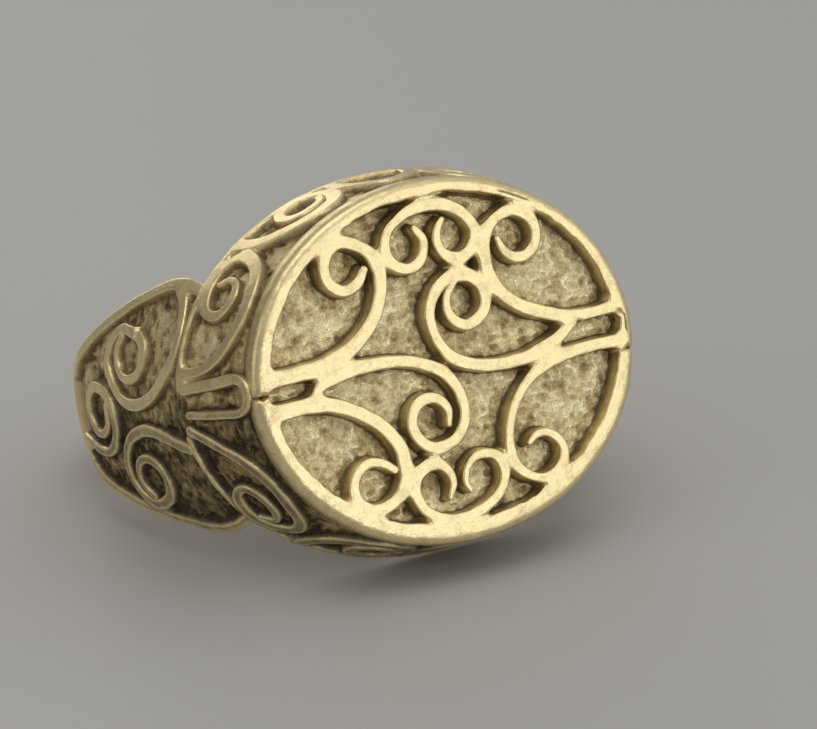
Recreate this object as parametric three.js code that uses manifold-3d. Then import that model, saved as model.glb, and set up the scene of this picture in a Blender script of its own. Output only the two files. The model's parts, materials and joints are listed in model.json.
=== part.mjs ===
// Signet ring with an oval scrollwork face, a flaring scrollwork gallery and leaf-shaped shoulders.
//
// The ring is drawn in its own frame, in millimetres: X across the face, Y from the face back towards
// the hoop, Z along the finger, with the middle of the face at the origin. It is then leaned back on
// the two points that it rests on, and set down with the middle of its footprint at the origin.

import * as THREE from 'three';
import { mergeVertices } from 'three/addons/utils/BufferGeometryUtils.js';
import Module from 'manifold-3d';

// ---------------------------------------------------------------- driving dimensions (mm)
const FACE_A = 9.23;            // half width of the oval face
const FACE_B = 8.0;             // half height of the oval face
const RIM_WIDTH = 0.78;         // flat border round the face
const RIM_DEPTH = 0.9;          // how far the ground lies below the border
const PLATE_THICK = 0.7;        // sheet that carries the face scrolls
const PLATE_A = 8.54;           // it fits inside the gallery wall
const PLATE_B = 7.1;

const BACK_A = 11.0;            // half width of the gallery's back edge
const BACK_B = 8.62;            // half height of the gallery's back edge
const GALLERY_DEPTH = 4.86;     // face to the gallery's back edge
const GALLERY_WALL = 1.0;
const RAIL_FRONT = 4.74;        // front of the back rail, measured along the gallery wall
const RAIL_BACK = 5.06;
const RAIL_REACH = 1.9;         // the back rail stops this far round from the gallery's ends

const FINGER_R = 9.75;          // finger hole, radius
const HOOP_R = 11.3;            // outside radius of the hoop
const HOOP_Y = 14.6;            // hoop's axis behind the face
const SHANK_HALF = 2.0;         // half width of the shank where the shoulders end
const SHANK_BACK_HALF = 1.8;    // half width at the very back
const SHOULDER_FULL = 11.08;    // shoulders' outer surface, from the middle plane, by the gallery
const SHOULDER_CROWN = 2.4;     // how much the shoulder falls away to its edges by the gallery
const SHANK_CROWN = 0.12;       // how much it still does where the shank begins
const CROWN_END = 10.5;         // distance along the shoulder over which that happens
const SHOULDER_START = 0.3;     // first section of the shoulder plate behind the gallery's back edge
const SHOULDER_END = 12.4;      // shoulder's length along its middle
const RAIL_WIDTH = 0.42;        // edge wires of the shoulders

const RELIEF = 0.45;            // how far wires stand out of the gallery and shoulder ground
const SHOULDER_WALL = 1.1;      // shoulder sheet under that ground
const GAP = 0.03;               // solder gap kept between two pieces
const WIRE_STEP = 0.42;         // length of each straight step of a wire
const QUARTER_TURN = 14.45;     // wire length of a quarter of the way round the gallery
const GALLERY_SHIFT = 0.26;     // the gallery's ornament sits this much high at the ends
const COMMA_SHIFT = [0.3, -0.2];    // the lower shoulder scroll lies further back and lower

// ---------------------------------------------------------------- wire routes (mm)
// A route is a list of [across, up, width]. Where a width is missing, the last one given goes on.

// Face, seen from the front: x to the right, z up.
const FACE_ROUTES = {
  face_scroll_upper_left: [
    [-3.05, 4.68, 0.42], [-3.55, 4.12, 0.52], [-4.2, 4.0, 0.55], [-4.75, 4.4], [-4.9, 5.05], [-4.6, 5.75],
    [-3.95, 6.05], [-3.15, 5.78, 0.6], [-2.6, 5.25, 0.64], [-2.38, 4.5], [-2.43, 3.8], [-2.65, 3.15],
    [-3.1, 2.45], [-3.8, 1.83, 0.66], [-4.7, 1.35, 0.7], [-5.9, 0.95, 0.78], [-7.1, 0.86], [-8.6, 0.9],
  ],
  face_scroll_upper_right: [
    [3.55, 4.72, 0.3], [3.75, 4.15, 0.44], [4.2, 3.75, 0.52], [4.75, 3.72], [5.25, 4.1], [5.45, 4.75],
    [5.2, 5.4], [4.55, 5.78], [3.85, 5.68], [3.25, 5.3, 0.56], [2.88, 4.75, 0.6], [2.78, 4.0, 0.58],
    [2.83, 3.3], [3.05, 2.65, 0.62], [3.5, 2.05], [4.1, 1.57], [4.85, 1.15, 0.64], [5.65, 0.82],
    [6.5, 0.63, 0.68], [7.5, 0.58, 0.74], [8.6, 0.6],
  ],
  face_scroll_upper_s: [
    [0.72, 2.88, 0.3], [0.5, 2.3, 0.46], [0.68, 1.68, 0.52], [1.2, 1.33, 0.56], [1.8, 1.42], [2.28, 1.85],
    [2.42, 2.4], [2.28, 2.98, 0.6], [1.85, 3.4, 0.66], [1.25, 3.55, 0.7], [0.55, 3.38, 0.6],
    [-0.05, 2.9, 0.56], [-0.38, 2.2, 0.52], [-0.4, 1.5], [-0.18, 0.75], [0.25, 0.12, 0.56],
    [0.9, -0.33], [1.75, -0.6, 0.58], [2.8, -0.72, 0.6], [3.9, -0.66, 0.62], [4.8, -0.42, 0.66],
    [5.6, -0.12, 0.62], [6.35, 0.1, 0.5],
  ],
  face_scroll_upper_twin: [
    [-0.28, 5.95, 0.36], [0.0, 5.4, 0.44], [-0.15, 4.75, 0.48], [-0.65, 4.33, 0.52], [-1.25, 4.38],
    [-1.72, 4.8], [-1.85, 5.4], [-1.62, 6.05], [-1.1, 6.5, 0.5], [-0.3, 6.78, 0.56], [0.6, 6.82, 0.58],
    [1.45, 6.62, 0.56], [2.15, 6.15], [2.52, 5.45, 0.54], [2.42, 4.85, 0.56], [1.95, 4.38], [1.4, 4.28, 0.6],
    [0.88, 4.6, 0.5], [0.66, 5.2, 0.44], [0.82, 5.78, 0.38], [1.1, 6.08, 0.26],
  ],
  face_scroll_lower_right: [
    [3.12, -4.42, 0.26], [3.5, -4.15, 0.36], [4.0, -4.12, 0.42], [4.5, -4.5, 0.46], [4.72, -5.05],
    [4.5, -5.65, 0.5], [3.95, -6.02, 0.5], [3.3, -6.02, 0.42], [2.7, -5.72, 0.44], [2.3, -5.25, 0.46],
    [2.15, -4.6, 0.5], [2.22, -3.9, 0.46], [2.48, -3.15, 0.46], [2.95, -2.4], [3.6, -1.77, 0.48],
    [4.35, -1.33, 0.52], [5.2, -1.05, 0.58], [6.1, -0.93], [7.1, -0.88, 0.56], [8.6, -0.92, 0.6],
  ],
  face_scroll_lower_left: [
    [-3.5, -4.15, 0.36], [-3.95, -3.78, 0.44], [-4.55, -3.6, 0.48], [-5.15, -3.85], [-5.52, -4.45],
    [-5.45, -5.15, 0.52], [-4.95, -5.62, 0.54], [-4.2, -5.65, 0.52], [-3.5, -5.32, 0.6], [-3.03, -4.7, 0.68],
    [-2.95, -3.95, 0.68], [-3.05, -3.2, 0.64], [-3.45, -2.45, 0.64], [-4.05, -1.8], [-4.85, -1.2],
    [-5.75, -0.78, 0.66], [-6.7, -0.52, 0.7], [-7.5, -0.45, 0.72], [-8.6, -0.48, 0.76],
  ],
  face_scroll_lower_s: [
    [-0.52, -2.75, 0.3], [-0.42, -2.1, 0.42], [-0.78, -1.58, 0.5], [-1.35, -1.42, 0.54], [-1.95, -1.7],
    [-2.25, -2.3], [-2.15, -2.95], [-1.75, -3.45, 0.56], [-1.15, -3.65, 0.6], [-0.45, -3.5, 0.54],
    [0.08, -3.05, 0.52], [0.36, -2.35], [0.3, -1.6], [0.02, -0.92, 0.54], [-0.5, -0.33, 0.56],
    [-1.25, 0.12, 0.58], [-2.2, 0.42], [-3.3, 0.56, 0.6], [-4.5, 0.55, 0.68], [-5.5, 0.36, 0.7],
    [-6.45, 0.2, 0.62],
  ],
  face_scroll_lower_twin: [
    [-1.15, -5.92, 0.26], [-0.88, -5.35, 0.38], [-0.98, -4.78, 0.44], [-1.4, -4.38, 0.56], [-1.95, -4.35],
    [-2.48, -4.68, 0.52], [-2.72, -5.25], [-2.58, -5.95], [-2.1, -6.5, 0.48], [-1.35, -6.83, 0.46],
    [-0.5, -6.88], [0.35, -6.7, 0.44], [1.05, -6.35, 0.46], [1.5, -5.85, 0.44], [1.65, -5.25, 0.46],
    [1.45, -4.65, 0.5], [0.9, -4.38, 0.48], [0.3, -4.48, 0.42], [-0.12, -4.9, 0.36], [-0.3, -5.4, 0.26],
  ],
};

// Gallery, unrolled: across is measured round the wall from its left or right end, up is measured
// from the face towards the back edge.
const GALLERY_WAVE = [
  [5.86, 3.72, 0.26], [6.02, 3.2, 0.36], [5.7, 2.72, 0.46], [5.14, 2.56, 0.5], [4.58, 2.78], [4.34, 3.3],
  [4.5, 3.88], [5.0, 4.28], [5.75, 4.42, 0.48], [6.6, 4.3, 0.5], [7.2, 3.85, 0.52], [7.28, 3.1, 0.54],
  [6.95, 2.4], [6.35, 1.8], [5.6, 1.42, 0.52], [4.75, 1.35], [3.85, 1.55], [3.0, 1.95], [2.35, 2.6, 0.5],
  [2.0, 3.45, 0.46], [1.9, 4.6, 0.44],
];
const GALLERY_CURL = [
  [11.3, 2.85, 0.3], [10.75, 2.55, 0.42], [10.2, 2.75, 0.48], [9.93, 3.35, 0.5], [10.2, 4.0],
  [10.8, 4.38], [11.45, 4.2, 0.54], [11.88, 3.55, 0.56], [11.85, 2.75, 0.58], [11.5, 2.05, 0.6],
  [10.85, 1.68], [10.05, 1.68], [9.2, 2.1, 0.56], [8.55, 2.8, 0.54], [8.15, 3.6, 0.52], [8.02, 4.5],
];
const GALLERY_ARCH = [[12.72, 4.5, 0.46], [12.95, 3.4], [13.5, 2.5], [14.45, 2.15]];
const GALLERY_LOOP = [[0.96, 4.5, 0.46], [0.98, 3.2], [0.96, 2.0], [0.72, 1.4], [0.0, 1.2]];

// Shoulder, unrolled: across is measured back from the gallery, up is along the finger.
const SHOULDER_EDGE = [
  [0.1, 5.4], [1, 5.7], [2, 5.8], [3, 5.7], [4, 5.5], [5, 5.28], [6, 5.0], [7, 4.7],
  [8, 4.35], [9, 3.92], [10, 3.4], [11, 2.85], [12, 2.35], [12.6, 2.08],
];
const SHOULDER_COMMA = [
  [6.75, 2.95, 0.3], [6.95, 2.45, 0.44], [6.5, 1.95, 0.5], [5.75, 1.75, 0.52], [4.9, 1.88], [4.2, 2.3],
  [3.95, 2.85, 0.54], [4.3, 3.32], [5.05, 3.62], [6.0, 3.75, 0.52], [6.95, 3.5, 0.5], [7.6, 2.95],
  [7.85, 2.2], [7.45, 1.4], [6.55, 0.85], [5.3, 0.68, 0.52], [3.9, 0.8], [2.55, 1.15], [1.45, 1.7],
  [0.72, 2.45, 0.48], [0.48, 3.3, 0.44], [0.6, 4.2], [0.95, 5.0],
];
const SHOULDER_SPIRAL = [
  [9.45, 0.15, 0.3], [9.3, -0.4, 0.4], [9.85, -0.78, 0.46], [10.5, -0.5], [10.8, 0.25], [10.4, 1.0],
  [9.4, 1.3, 0.48], [8.4, 0.95], [7.95, 0.05], [8.45, -0.9], [9.6, -1.45, 0.46], [10.9, -1.4, 0.42],
  [12.1, -1.0, 0.34],
];

// ---------------------------------------------------------------- materials
const gold = (name, color, roughness) => {
  const material = new THREE.MeshStandardMaterial({ color, roughness, metalness: 1 });
  material.name = name;
  return material;
};
const GOLD_WIRE = gold('polished_gold', 0xe9d6a0, 0.3);
const GOLD_GROUND = gold('patinated_gold', 0x9a855b, 0.55);
const GOLD_SHANK = gold('worn_gold', 0xd8c08a, 0.35);

// ---------------------------------------------------------------- surfaces
const clampUnit = (value) => Math.min(1, Math.max(0, value));

/** Flat face: across, up and height above the ground give a point in the ring's frame. */
function facePoint(across, up, height) {
  return new THREE.Vector3(across, RIM_DEPTH - height, up);
}

/** Point on the outermost surface of the gallery, by turn round it and distance from the face. */
function galleryPoint(across, down) {
  const turn = Math.PI - across / QUARTER_TURN * Math.PI / 2;
  const part = down / RAIL_BACK;
  const a = THREE.MathUtils.lerp(FACE_A, BACK_A, part);
  const b = THREE.MathUtils.lerp(FACE_B, BACK_B, part);
  return new THREE.Vector3(a * Math.cos(turn), GALLERY_DEPTH * part, b * Math.sin(turn));
}

const STRAIGHT = HOOP_Y - GALLERY_DEPTH;

/** Half width of the shoulder, and of the shank behind it, at a distance along its middle. */
function shoulderHalfWidth(along) {
  const last = SHOULDER_EDGE[SHOULDER_EDGE.length - 1];
  if (along >= last[0]) {
    return last[1];
  }
  const next = Math.max(1, SHOULDER_EDGE.findIndex((point) => point[0] > along));
  const [x0, y0] = SHOULDER_EDGE[next - 1];
  const [x1, y1] = SHOULDER_EDGE[next];
  return THREE.MathUtils.lerp(y0, y1, (along - x0) / (x1 - x0));
}

/** Point on the outermost surface of the right shoulder. */
function shoulderPoint(along, up) {
  const turn = Math.max(0, along - STRAIGHT) / HOOP_R;
  const straight = Math.min(along, STRAIGHT);
  const full = THREE.MathUtils.lerp(SHOULDER_FULL, HOOP_R, straight / STRAIGHT);
  const middle = new THREE.Vector3(full * Math.cos(turn), GALLERY_DEPTH + straight, 0);
  middle.y += HOOP_R * Math.sin(turn);
  const crown = SHOULDER_CROWN * clampUnit(1 - along / CROWN_END) + SHANK_CROWN;
  const fall = crown * (up / shoulderHalfWidth(along)) ** 2;
  const outward = new THREE.Vector3(Math.cos(turn), Math.sin(turn), 0);
  return middle.addScaledVector(outward, -fall).setZ(up);
}

/** Wraps flat coordinates on to a curved surface; height is measured from RELIEF below it. */
function wrapOn(surface) {
  const step = 0.02;
  return (across, up, height) => {
    const point = surface(across, up);
    const alongAcross = surface(across + step, up).sub(surface(across - step, up));
    const alongUp = surface(across, up + step).sub(surface(across, up - step));
    const outward = alongAcross.cross(alongUp).normalize();
    return point.addScaledVector(outward, height - RELIEF);
  };
}
const onGallery = wrapOn(galleryPoint);
const onShoulder = wrapOn(shoulderPoint);

// ---------------------------------------------------------------- solids
const wasm = await Module();
wasm.setup();

/** Keeps only positions, with shared corners merged. */
function bare(geometry) {
  const copy = geometry.clone();
  for (const name of Object.keys(copy.attributes)) {
    if (name !== 'position') {
      copy.deleteAttribute(name);
    }
  }
  return mergeVertices(copy, 1e-5);
}

function toSolid(geometry) {
  const merged = bare(geometry);
  return new wasm.Manifold(new wasm.Mesh({
    numProp: 3,
    vertProperties: new Float32Array(merged.attributes.position.array),
    triVerts: new Uint32Array(merged.index.array),
  }));
}

function toGeometry(solid) {
  const mesh = solid.getMesh();
  const geometry = new THREE.BufferGeometry();
  geometry.setAttribute('position', new THREE.BufferAttribute(mesh.vertProperties, 3));
  geometry.setIndex(new THREE.BufferAttribute(mesh.triVerts, 1));
  return geometry;
}

/** The biggest of the bodies that a cut leaves. */
function biggest(solid) {
  const bodies = solid.decompose();
  bodies.sort((one, other) => other.volume() - one.volume());
  return bodies[0];
}

/** Moves each flat corner (across, up, height) to its place on a surface. */
function wrapped(geometry, place) {
  const out = bare(geometry);
  const position = out.attributes.position;
  for (let i = 0; i < position.count; i++) {
    const point = place(position.getX(i), position.getY(i), position.getZ(i));
    position.setXYZ(i, point.x, point.y, point.z);
  }
  return out;
}

/** The width of a wire at each point of its route. */
function routeWidths(route) {
  const widths = [];
  for (const point of route) {
    widths.push(point[2] ?? widths[widths.length - 1]);
  }
  return widths;
}

/** A flat wire: a bar swept along its route, then raised to its height. */
function wire(route, height, grow = 0, spacing = WIRE_STEP) {
  const curve = new THREE.CatmullRomCurve3(route.map(([x, y]) => new THREE.Vector3(x, y, 0)));
  const widths = routeWidths(route);
  const steps = Math.max(4, Math.round(curve.getLength() / spacing));
  const bar = new THREE.BoxGeometry(1, 1, 1, steps, 1, 1);
  return wrapped(bar, (along, side, rise) => {
    const t = curve.getUtoTmapping(clampUnit(along + 0.5));
    const place = t * (route.length - 1);
    const before = Math.min(route.length - 2, Math.floor(place));
    const width = THREE.MathUtils.lerp(widths[before], widths[before + 1], place - before);
    const tangent = curve.getTangent(t);
    const across = new THREE.Vector3(-tangent.y, tangent.x, 0);
    const point = curve.getPoint(t).addScaledVector(across, 2 * side * (width / 2 + grow));
    return point.setZ(rise > 0 ? height + grow : GAP - grow);
  });
}

/** Cuts each wire clear of the ones before it, in the flat, so that none overlaps another. */
function fitTogether(routes, height, keepOut) {
  const placed = [...keepOut];
  const fitted = {};
  for (const [name, route] of Object.entries(routes)) {
    let solid = toSolid(wire(route, height));
    for (const other of placed) {
      solid = solid.subtract(other);
    }
    fitted[name] = toGeometry(biggest(solid));
    placed.push(toSolid(wire(route, height, GAP)));
  }
  return fitted;
}

function ellipse(a, b, clockwise = false) {
  return new THREE.Path().absellipse(0, 0, a, b, 0, Math.PI * 2, clockwise).getPoints(22);
}

/** An oval ring of flat sheet. */
function ovalRing(outerA, outerB, innerA, innerB, depth) {
  const shape = new THREE.Shape(ellipse(outerA, outerB));
  shape.holes.push(new THREE.Path(ellipse(innerA, innerB, true)));
  return new THREE.ExtrudeGeometry(shape, { depth, bevelEnabled: false });
}

const BEYOND = 60;              // far enough out for a trimming box to clear every piece

/** A block between two distances across and two distances up, for trimming. */
function slab(x0, x1, y0, y1) {
  const box = new THREE.BoxGeometry(x1 - x0, y1 - y0, BEYOND);
  box.translate((x0 + x1) / 2, (y0 + y1) / 2, 0);
  return toSolid(box);
}

const mirrorX = new THREE.Matrix4().makeScale(-1, 1, 1);
const mirrorZ = new THREE.Matrix4().makeScale(1, 1, -1);

/** A mirror image, with every face turned over so that it still points out. */
function mirrored(geometry, matrix) {
  const out = geometry.clone().applyMatrix4(matrix);
  const index = out.index.array;
  for (let i = 0; i < index.length; i += 3) {
    [index[i], index[i + 1]] = [index[i + 1], index[i]];
  }
  return out;
}

// ---------------------------------------------------------------- assembly
const ring = new THREE.Group();

function add(name, geometry, material) {
  const mesh = new THREE.Mesh(geometry, material);
  mesh.name = name;
  geometry.computeVertexNormals();
  ring.add(mesh);
  return mesh;
}

/** Border of the face, in two half hoops that meet at the ends of the long axis. */
function addRim() {
  const whole = toSolid(ovalRing(FACE_A, FACE_B, FACE_A - RIM_WIDTH, FACE_B - RIM_WIDTH, RIM_DEPTH - GAP));
  const upper = whole.intersect(slab(-BEYOND, BEYOND, GAP, BEYOND)).translate([0, 0, GAP]);
  const lower = whole.intersect(slab(-BEYOND, BEYOND, -BEYOND, -GAP)).translate([0, 0, GAP]);
  add('rim_upper', wrapped(toGeometry(upper), facePoint), GOLD_WIRE);
  add('rim_lower', wrapped(toGeometry(lower), facePoint), GOLD_WIRE);
}

/** Sheet behind the face scrolls. */
function addFacePlate() {
  const shape = new THREE.Shape(ellipse(PLATE_A, PLATE_B));
  const plate = new THREE.ExtrudeGeometry(shape, { depth: PLATE_THICK, bevelEnabled: false });
  plate.translate(0, 0, -PLATE_THICK);
  add('face_plate', wrapped(plate, facePoint), GOLD_GROUND);
}

/** The wires laid on the face, each trimmed where it meets the border or another wire. */
function addFaceScrolls() {
  const inside = [FACE_A - RIM_WIDTH - GAP, FACE_B - RIM_WIDTH - GAP];
  const border = ovalRing(2 * FACE_A, 2 * FACE_B, ...inside, BEYOND);
  border.translate(0, 0, -BEYOND / 2);
  const fitted = fitTogether(FACE_ROUTES, RIM_DEPTH, [toSolid(border)]);
  for (const [name, geometry] of Object.entries(fitted)) {
    add(name, wrapped(geometry, facePoint), GOLD_WIRE);
  }
}

/** Ring-shaped wall of the gallery, from behind the border to the back rail. */
function addGalleryWall() {
  const turns = 64;
  const top = [RIM_DEPTH + GAP, RAIL_BACK];
  const outline = (part, inset) => {
    const points = [];
    for (let i = 0; i < turns; i++) {
      points.push(onGallery(i / turns * QUARTER_TURN * 4, part, -inset));
    }
    return points;
  };
  const loops = [outline(top[0], 0), outline(top[1], 0), outline(top[1], GALLERY_WALL - RELIEF)];
  loops.push(outline(top[0], GALLERY_WALL - RELIEF));
  const positions = [];
  for (let k = 0; k < loops.length; k++) {
    const here = loops[k];
    const next = loops[(k + 1) % loops.length];
    for (let i = 0; i < turns; i++) {
      const j = (i + 1) % turns;
      positions.push(here[i], here[j], next[j], here[i], next[j], next[i]);
    }
  }
  const geometry = new THREE.BufferGeometry().setFromPoints(positions);
  add('gallery_wall', bare(geometry), GOLD_GROUND);
}

/** Fine wire that closes the back edge of the gallery between the shoulders. */
function addGalleryRails() {
  const middle = (RAIL_FRONT + RAIL_BACK) / 2;
  const width = RAIL_BACK - RAIL_FRONT;
  const ends = [RAIL_REACH, 2 * QUARTER_TURN - RAIL_REACH];
  const route = [];
  for (let i = 0; i <= 12; i++) {
    route.push([THREE.MathUtils.lerp(ends[0], ends[1], i / 12), middle, width]);
  }
  const rail = wrapped(wire(route, RELIEF, 0, 2 * WIRE_STEP), onGallery);
  add('gallery_rail_top', rail, GOLD_WIRE);
  add('gallery_rail_bottom', mirrored(rail, mirrorZ), GOLD_WIRE);
}

/** A route turned over, moved along, or both. */
function moved(route, flip, [dx, dy] = [0, 0]) {
  return route.map(([x, y, width]) => [x * flip[0] + dx, y * flip[1] + dy, width]);
}

/** A route followed by its own mirror image about a line across it. */
function doubled(route, middle) {
  const widths = routeWidths(route);
  const there = route.map(([x, y], i) => [x, y, widths[i]]);
  const back = there.slice(0, -1).reverse().map(([x, y, width]) => [2 * middle - x, y, width]);
  return [...there, ...back];
}

/** Scrolls, arches and end loops round the gallery: the left half, then its mirror image. */
function addGalleryScrolls() {
  const trims = [
    slab(-BEYOND, BEYOND, RAIL_FRONT - GAP, BEYOND),
    slab(-BEYOND, BEYOND, -BEYOND, RIM_DEPTH + GAP),
  ];
  const shift = [GALLERY_SHIFT, 0];
  const routes = {
    wave_upper: moved(GALLERY_WAVE, [1, 1], shift),
    wave_lower: moved(GALLERY_WAVE, [-1, 1], shift),
    curl_upper: moved(GALLERY_CURL, [1, 1], shift),
    curl_lower: moved(GALLERY_CURL, [-1, 1], shift),
    loop: moved(doubled(GALLERY_LOOP, 0), [1, 1], shift),
  };
  for (const [name, flat] of Object.entries(fitTogether(routes, RELIEF, trims))) {
    const left = wrapped(flat, onGallery);
    add(`gallery_${name}_left`, left, GOLD_WIRE);
    add(`gallery_${name}_right`, mirrored(left, mirrorX), GOLD_WIRE);
  }
  const flat = fitTogether({ arch: doubled(GALLERY_ARCH, QUARTER_TURN) }, RELIEF, trims);
  const arch = wrapped(flat.arch, onGallery);
  add('gallery_arch_top', arch, GOLD_WIRE);
  add('gallery_arch_bottom', mirrored(arch, mirrorZ), GOLD_WIRE);
}

/** Curved leaf of sheet that joins the gallery to the shank, and the wires laid on it. */
function addShoulders() {
  const rows = 16;
  const columns = 8;
  const flat = new THREE.BoxGeometry(1, 1, 1, rows, columns, 1);
  const sheet = wrapped(flat, (x, y, z) => {
    const along = THREE.MathUtils.lerp(SHOULDER_START, SHOULDER_END, x + 0.5);
    const up = 2 * y * shoulderHalfWidth(along);
    return onShoulder(along, up, (z - 0.5) * SHOULDER_WALL);
  });
  const edge = SHOULDER_EDGE.map(([x, y]) => [x, y - RAIL_WIDTH / 2, RAIL_WIDTH]);
  const ends = [slab(-BEYOND, SHOULDER_START, -BEYOND, BEYOND), slab(SHOULDER_END, BEYOND, -BEYOND, BEYOND)];
  const routes = {
    edge_upper: edge,
    edge_lower: moved(edge, [1, -1]),
    comma_upper: SHOULDER_COMMA,
    comma_lower: moved(SHOULDER_COMMA, [1, -1], COMMA_SHIFT),
    spiral: SHOULDER_SPIRAL,
  };
  const fitted = fitTogether(routes, RELIEF, ends);
  const pieces = { sheet, ...Object.fromEntries(
    Object.entries(fitted).map(([name, piece]) => [name, wrapped(piece, onShoulder)]),
  ) };
  for (const [name, piece] of Object.entries(pieces)) {
    const material = name === 'sheet' ? GOLD_GROUND : GOLD_WIRE;
    add(`shoulder_${name}_left`, mirrored(piece, mirrorX), material);
    add(`shoulder_${name}_right`, piece, material);
  }
}

/** Plain tapering band round the back of the finger. */
function addShank() {
  const start = (SHOULDER_END + GAP - STRAIGHT) / HOOP_R;
  const sweep = Math.PI - 2 * start;
  const segments = 36;
  const outline = new THREE.BoxGeometry(1, 1, 1, segments, 1, 1);
  const band = wrapped(outline, (x, y, z) => {
    const part = x + 0.5;
    const turn = start + sweep * part;
    const radius = z > 0 ? HOOP_R : FINGER_R;
    const taper = Math.sin(Math.PI * part);
    const half = THREE.MathUtils.lerp(SHANK_HALF, SHANK_BACK_HALF, taper);
    return new THREE.Vector3(radius * Math.cos(turn), HOOP_Y + radius * Math.sin(turn), 2 * y * half);
  });
  add('shank_band', band, GOLD_SHANK);
}

addRim();
addFacePlate();
addFaceScrolls();
addGalleryWall();
addGalleryRails();
addGalleryScrolls();
addShoulders();
addShank();

// ---------------------------------------------------------------- resting pose
// The ring lies on its side: it rests on the lower back edge of the gallery and the back of the shank.
const restGallery = onGallery(-QUARTER_TURN, RAIL_BACK, RELIEF);
const restShank = new THREE.Vector3(0, HOOP_Y + HOOP_R, -SHANK_BACK_HALF);
ring.rotation.x = -Math.atan2(restShank.z - restGallery.z, restShank.y - restGallery.y);
ring.updateMatrixWorld(true);
const box = new THREE.Box3().setFromObject(ring, true);
const middle = box.getCenter(new THREE.Vector3());
ring.position.set(-middle.x, -middle.y, -box.min.z);

const model = new THREE.Group();
model.add(ring);

export default model;
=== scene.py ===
"""A gold signet ring with scrollwork on its face, gallery and shoulders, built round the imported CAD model.

Every piece is drawn in millimetres in the ring's own frame: X across the face, Y from the face back to
the hoop, Z along the finger, with the middle of the face at the origin. It is then laid down where the
CAD model lies. Wires are drawn flat, as a route across and up with a height, and wrapped on to the face,
the gallery or a shoulder. Where wires meet, each takes the height of the soldered join they share.
"""

import json
import math

import bmesh
import bpy
import numpy as np
from mathutils import Matrix, Vector


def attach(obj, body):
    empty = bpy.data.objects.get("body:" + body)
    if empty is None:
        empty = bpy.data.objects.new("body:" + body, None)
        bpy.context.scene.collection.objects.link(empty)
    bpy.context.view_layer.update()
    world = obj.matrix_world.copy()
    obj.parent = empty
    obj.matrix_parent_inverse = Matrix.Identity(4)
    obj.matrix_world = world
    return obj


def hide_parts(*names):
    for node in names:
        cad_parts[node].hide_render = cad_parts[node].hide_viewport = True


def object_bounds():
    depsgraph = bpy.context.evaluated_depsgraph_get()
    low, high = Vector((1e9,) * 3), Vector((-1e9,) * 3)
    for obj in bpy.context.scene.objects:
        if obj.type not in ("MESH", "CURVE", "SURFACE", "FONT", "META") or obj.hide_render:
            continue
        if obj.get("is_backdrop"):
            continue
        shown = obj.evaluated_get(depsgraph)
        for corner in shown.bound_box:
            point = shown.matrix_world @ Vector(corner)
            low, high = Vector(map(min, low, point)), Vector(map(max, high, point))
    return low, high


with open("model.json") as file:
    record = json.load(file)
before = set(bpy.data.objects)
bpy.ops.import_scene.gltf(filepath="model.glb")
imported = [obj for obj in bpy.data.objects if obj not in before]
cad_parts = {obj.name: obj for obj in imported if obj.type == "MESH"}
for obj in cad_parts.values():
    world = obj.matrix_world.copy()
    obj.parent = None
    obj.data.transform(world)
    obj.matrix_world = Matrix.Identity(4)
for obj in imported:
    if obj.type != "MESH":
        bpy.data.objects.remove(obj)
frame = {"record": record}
CAD_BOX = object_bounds()

# ------------ driving dimensions (mm)
MM = 0.001
FACE_A, FACE_B = 9.23, 8.0          # half width and half height of the oval face
RIM_DEPTH = 0.9                     # how far the ground of the face lies below its border
PLATE_A, PLATE_B = 8.64, 7.2        # sheet behind the face scrolls, out to under the border
PLATE_THICK = 0.7
BACK_A, BACK_B = 11.0, 8.62         # half width and half height of the gallery's back edge
GALLERY_DEPTH = 4.86                # face to the gallery's back edge
RAIL_BACK = 5.06                    # the same, measured along the flaring wall
RAIL_MIDDLE, RAIL_WIDE = 4.93, 0.24     # the back edge's fine wire
RAIL_SHORT = 1.2                    # how far short of the gallery's ends it stops
GALLERY_SKIN = 0.55                 # sheet under the gallery's ground
QUARTER_TURN = 14.45                # a quarter of the way round the gallery
FINGER_R, HOOP_R, HOOP_Y = 9.75, 11.3, 14.6     # hoop's inside, outside and axis behind the face
SHANK_OVERLAP = 0.25                # how far the shank runs into the end of a shoulder
SHANK_CORNER = 0.38                 # radius along its outer edges
SHANK_FALL, SHANK_EASE = 0.16, 0.05     # how much it falls away to its edges, outside and inside
SHANK_RISE = 0.8                    # how soon it rises out of its joints
SHANK_HALF, SHANK_BACK_HALF = 2.0, 1.8      # half width of the shank by the shoulders and at the back
SHOULDER_FULL = 11.08               # shoulder's outer surface from the middle plane, by the gallery
SHOULDER_CROWN, SHANK_CROWN = 2.4, 0.12     # how much it falls away to its edges, by the gallery and later
CROWN_END = 10.5                    # distance along the shoulder over which that changes
SHOULDER_END = 12.5                 # shoulder's length along its middle
SHOULDER_SKIN = 1.1                 # sheet under the shoulder's ground
EDGE_WIDE = 0.42                    # width of the shoulders' edge wires
RELIEF = 0.38                       # how far wires stand out of the gallery and shoulder ground
STRAIGHT = HOOP_Y - GALLERY_DEPTH   # part of a shoulder before it follows the hoop

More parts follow.
